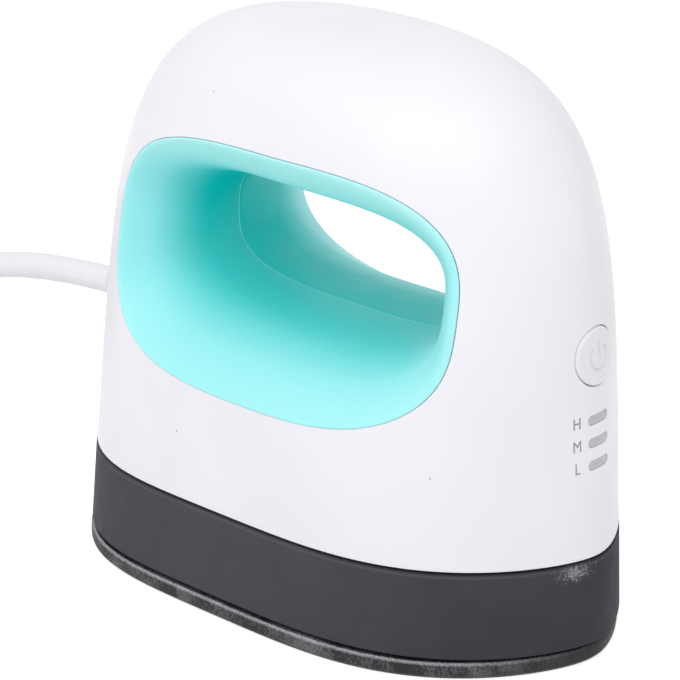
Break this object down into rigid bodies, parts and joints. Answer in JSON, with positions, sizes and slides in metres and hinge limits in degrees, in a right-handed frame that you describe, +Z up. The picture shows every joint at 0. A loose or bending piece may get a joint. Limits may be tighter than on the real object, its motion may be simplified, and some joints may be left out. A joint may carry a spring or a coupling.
{
  "type": "mini handheld heat press",
  "caption": "Palm-sized craft heat press: domed shell with a finger opening right through it, oval heated plate, heat-setting button, indicator windows and a corded plug.",
  "frame": {"origin": "centre of the heating plate's flat working face", "axes": "+Z up through the handle, +X towards the rounded end with the button, -X towards the end with the cord"},
  "size_m": [0.2739, 0.0773, 0.0978],
  "materials": {
    "shell_white": "satin moulded ABS",
    "liner_teal": "satin moulded ABS",
    "skirt_grey": "fine matt moulded heat-resistant nylon",
    "plate_coating": "speckled non-stick coating on cast aluminium",
    "heater_strip": "etched resistance strip",
    "mica": "pressed mica sheet",
    "pressed_aluminium": "pressed sheet",
    "zinc_steel": "zinc plated",
    "fuse_sleeve": "woven glass sleeve",
    "ceramic_felt": "needled ceramic felt",
    "board_laminate": "solder-masked glass laminate",
    "part_black": "moulded epoxy",
    "led_resin": "clear cast epoxy",
    "guide_frosted": "frosted clear polycarbonate",
    "terminal_green": "moulded nylon",
    "capacitor_box": "potted box",
    "capacitor_can": "sleeved can",
    "resistor_body": "lacquered ceramic",
    "connector_nylon": "natural nylon",
    "lead_sleeve": "silicone insulation",
    "lead_braid": "braided glass sleeve",
    "cord_white": "satin PVC jacket",
    "tie_black": "hook-and-loop strip",
    "blade_brass": "stamped and tumbled"
  },
  "bodies": {
    "housing": {"upper_shell": "shell_white", "grip_liner_near": "liner_teal", "grip_liner_far": "liner_teal", "base_skirt": "skirt_grey", "heating_plate": "plate_coating", "heater_element": "heater_strip", "mica_sheet": "mica", "clamp_plate": "pressed_aluminium", "clamp_screws": "zinc_steel", "thermal_fuse": "fuse_sleeve", "thermistor": "fuse_sleeve", "sensor_clip": "zinc_steel", "insulation_felt": "ceramic_felt", "plate_spacers": "mica", "plate_screws": "zinc_steel", "control_board": "board_laminate", "board_screws": "zinc_steel", "tact_switch": "part_black", "indicator_leds": "led_resin", "light_guide": "guide_frosted", "terminal_block": "terminal_green", "film_capacitor": "capacitor_box", "smoothing_capacitor": "capacitor_can", "power_triac": "part_black", "controller_chip": "part_black", "fusible_resistor": "resistor_body", "sensor_connector": "connector_nylon", "mains_leads": "lead_sleeve", "heater_leads": "lead_braid", "sensor_leads": "lead_sleeve", "strain_relief": "cord_white", "cord_clamp": "connector_nylon", "cord_clamp_screws": "zinc_steel", "power_cord": "cord_white", "cord_coil": "cord_white", "cord_tie": "tie_black", "mains_plug": "cord_white", "plug_blades": "blade_brass"},
    "button": {"power_button": "shell_white", "switch_plunger": "part_black"}
  },
  "joints": [
    {"name": "button_press", "type": "slide", "parent": "housing", "child": "button", "axis": [-1, 0, 0], "range_m": [0, 0.0005], "stiffness_N_per_m": 2000}
  ]
}
